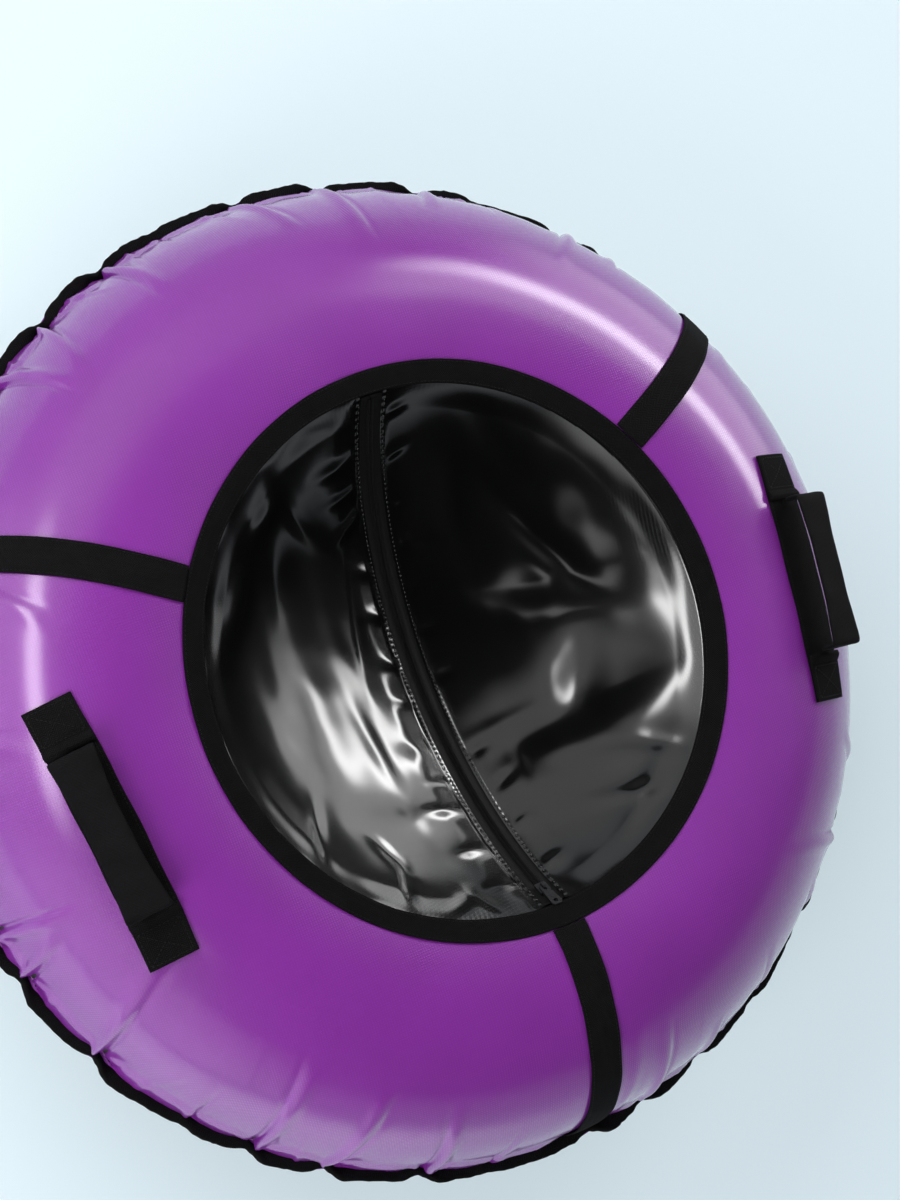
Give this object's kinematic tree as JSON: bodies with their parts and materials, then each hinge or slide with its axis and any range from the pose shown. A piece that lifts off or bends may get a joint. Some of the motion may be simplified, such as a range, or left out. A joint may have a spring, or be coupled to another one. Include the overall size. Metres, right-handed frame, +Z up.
{
  "type": "snow tube",
  "caption": "Inflatable ring in a round sewn cover with a sunken zipped seat, crest straps and looped grab handles, for sliding on snow.",
  "frame": {"origin": "middle of the flat bottom, on the floor", "axes": "+Z up along the ring's axis; the seat's zip runs along Y with the closed end at -Y, the handles stand at -X and +X"},
  "size_m": [1, 1, 0.3609],
  "materials": {
    "cover_purple": "satin coated cloth, purple",
    "sheet_black": "glossy coated cloth, black",
    "bottom_black": "slick coated cloth, black",
    "webbing_black": "woven webbing, matt",
    "tape_twill": "twill binding tape, matt",
    "grip_cloth": "plain woven cloth, matt",
    "zip_nylon": "black nylon tape and coil",
    "dark_metal": "dark plated",
    "rubber_black": "matt",
    "valve_brass": "turned",
    "cap_plastic": "moulded"
  },
  "bodies": {
    "cover": {"top_cover_panel": "cover_purple", "bottom_cover_panel": "bottom_black", "rim_binding": "tape_twill", "seat_ring_tape": "tape_twill", "seat_panel_right": "sheet_black", "seat_panel_left": "sheet_black", "strap_right": "webbing_black", "strap_left": "webbing_black", "strap_front": "webbing_black", "handle_right_base": "webbing_black", "handle_right_tab_rear": "webbing_black", "handle_right_tab_front": "webbing_black", "handle_left_base": "webbing_black", "handle_left_tab_rear": "webbing_black", "handle_left_tab_front": "webbing_black", "zip_tape_right": "zip_nylon", "zip_tape_left": "zip_nylon", "zip_coil_right": "zip_nylon", "zip_coil_left": "zip_nylon", "inner_tube": "rubber_black", "valve_stem": "rubber_black", "valve_tip": "valve_brass", "valve_core": "valve_brass"},
    "zip_slider": {"zip_slider": "dark_metal"},
    "zip_pull": {"zip_pull": "dark_metal"},
    "grip_right": {"handle_right_grip_core": "webbing_black", "handle_right_grip_sleeve": "grip_cloth"},
    "grip_left": {"handle_left_grip_core": "webbing_black", "handle_left_grip_sleeve": "grip_cloth"},
    "valve_cap": {"valve_cap": "cap_plastic"}
  },
  "joints": [
    {"name": "zip_run", "type": "hinge", "parent": "cover", "child": "zip_slider", "pos_m": [0, 0, 0.50798], "axis": [1, 0, 0], "range_deg": [0, 97]},
    {"name": "pull_flip", "type": "hinge", "parent": "zip_slider", "child": "zip_pull", "pos_m": [0, -0.23886, 0.30398], "axis": [-1, 0, 0], "range_deg": [0, 165]},
    {"name": "grip_right_swing", "type": "hinge", "parent": "cover", "child": "grip_right", "pos_m": [0.38147, -0.04819, 0.32495], "axis": [0.1253, 0.9921, 0], "range_deg": [-40, 42]},
    {"name": "grip_left_swing", "type": "hinge", "parent": "cover", "child": "grip_left", "pos_m": [-0.38147, -0.04819, 0.32495], "axis": [0.1253, -0.9921, 0], "range_deg": [-40, 42]},
    {"name": "cap_pull_off", "type": "slide", "parent": "cover", "child": "valve_cap", "axis": [0, -1, 0], "range_m": [0, 0.012]}
  ]
}
